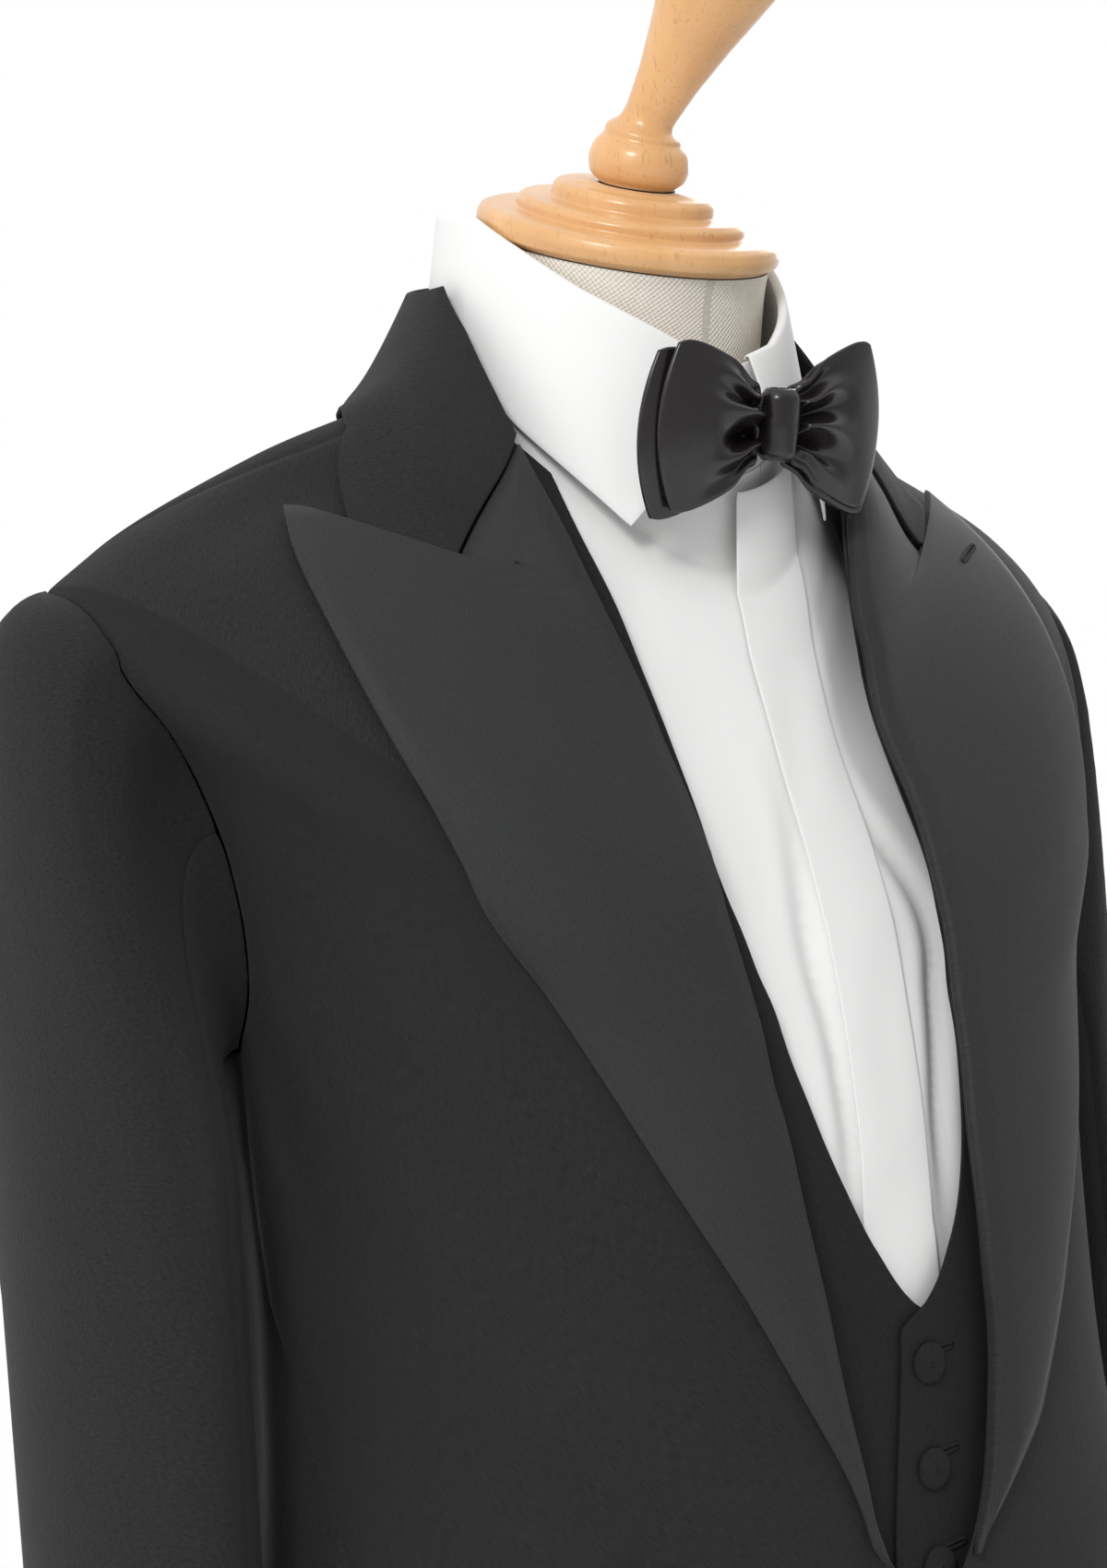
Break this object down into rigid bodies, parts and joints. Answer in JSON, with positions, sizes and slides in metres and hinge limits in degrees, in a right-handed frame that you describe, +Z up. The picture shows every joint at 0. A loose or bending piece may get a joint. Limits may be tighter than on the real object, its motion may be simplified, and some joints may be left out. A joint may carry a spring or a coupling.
{
  "type": "tuxedo on a tailor's dress form",
  "caption": "Peak-lapel dinner jacket with horseshoe waistcoat, white shirt and satin bow tie, worn by a limbless linen dress form with a turned wood cap and stand, for formal display",
  "frame": {"origin": "on the floor under the middle of the dress form's round base", "axes": "+Z up, the wearer's front faces -Y, the wearer's left is +X"},
  "size_m": [0.5692, 0.34, 1.0471],
  "materials": {
    "jacket_wool": "black wool twill, matt",
    "facing_silk": "black barathea facing, soft sheen",
    "waistcoat_wool": "black wool twill, matt",
    "shirt_cotton": "white cotton, crisp and matt",
    "bow_satin": "black silk satin, glossy",
    "form_linen": "natural linen cover, coarse plain weave",
    "form_beech": "varnished beech"
  },
  "bodies": {
    "root": {"jacket_front_right": "jacket_wool", "jacket_front_left": "jacket_wool", "jacket_side_right": "jacket_wool", "jacket_side_left": "jacket_wool", "jacket_back_right": "jacket_wool", "jacket_back_left": "jacket_wool", "sleeve_top_right": "jacket_wool", "sleeve_top_left": "jacket_wool", "sleeve_under_right": "jacket_wool", "sleeve_under_left": "jacket_wool", "lapel_right": "facing_silk", "lapel_left": "facing_silk", "shirt_front_right": "shirt_cotton", "shirt_front_left": "shirt_cotton", "shirt_sleeve_right": "shirt_cotton", "shirt_sleeve_left": "shirt_cotton", "shirt_cuff_right": "shirt_cotton", "shirt_cuff_left": "shirt_cotton", "waistcoat_front_right": "waistcoat_wool", "waistcoat_front_left": "waistcoat_wool", "bow_front_right": "bow_satin", "bow_front_left": "bow_satin", "bow_back_right": "bow_satin", "bow_back_left": "bow_satin", "jacket_collar": "jacket_wool", "jacket_button": "facing_silk", "waistcoat_back": "waistcoat_wool", "shirt_back": "shirt_cotton", "shirt_placket": "shirt_cotton", "shirt_collar_stand": "shirt_cotton", "shirt_collar_leaf": "shirt_cotton", "bow_knot": "bow_satin", "form_torso": "form_linen", "form_neck_cap": "form_beech", "form_finial": "form_beech", "form_pole": "form_beech", "form_base": "form_beech", "waistcoat_button_1": "waistcoat_wool", "waistcoat_button_2": "waistcoat_wool", "waistcoat_button_3": "waistcoat_wool", "waistcoat_button_4": "waistcoat_wool"}
  },
  "joints": []
}
